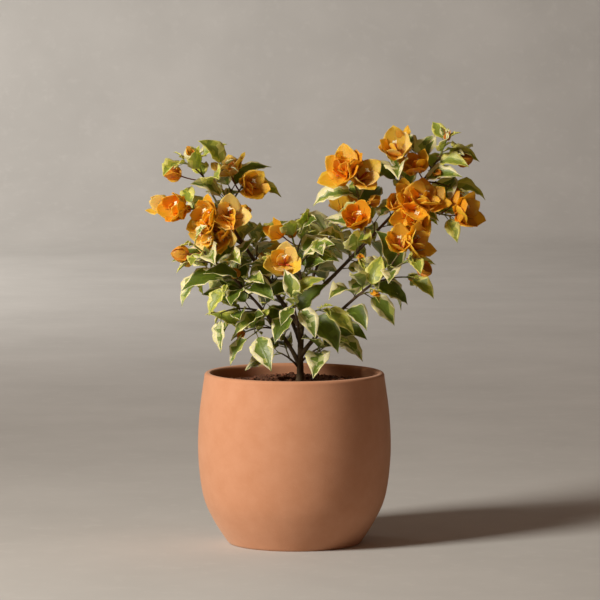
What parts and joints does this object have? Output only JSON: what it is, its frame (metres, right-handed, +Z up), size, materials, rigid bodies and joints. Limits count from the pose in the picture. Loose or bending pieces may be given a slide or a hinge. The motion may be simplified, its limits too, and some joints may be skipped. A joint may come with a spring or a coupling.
{
  "type": "potted bougainvillea bush",
  "caption": "Small flowering shrub with variegated leaves and orange papery bracts, growing as an open V from a slim stem in a round terracotta planter.",
  "frame": {"origin": "middle of the planter's flat underside", "axes": "+Z up along the planter's axis, -Y towards the side that the bush is seen from, +X to the right of that view"},
  "size_m": [0.4602, 0.2716, 0.5659],
  "materials": {
    "terracotta": "unglazed, smooth and matt",
    "soil": "crumbly moist potting mix",
    "bark": "thin grey-brown bark, matt",
    "leaf": "satin leaf with a cream margin",
    "bract": "thin papery orange bract",
    "flower": "small cream flower"
  },
  "bodies": {
    "root": {"pot": "terracotta", "soil": "soil", "trunk": "bark", "bough_left_low": "bark", "bough_left_high": "bark", "bough_right_low": "bark", "bough_right_high": "bark", "bough_back_left": "bark", "bough_back_right": "bark", "bough_front": "bark", "foliage_left_low": "leaf", "foliage_left_high": "leaf", "foliage_middle": "leaf", "foliage_right_low": "leaf", "foliage_right_high": "leaf", "foliage_back_left": "leaf", "foliage_back_right": "leaf", "foliage_front": "leaf", "foliage_foot_left": "leaf", "foliage_foot_right": "leaf"}
  },
  "joints": []
}
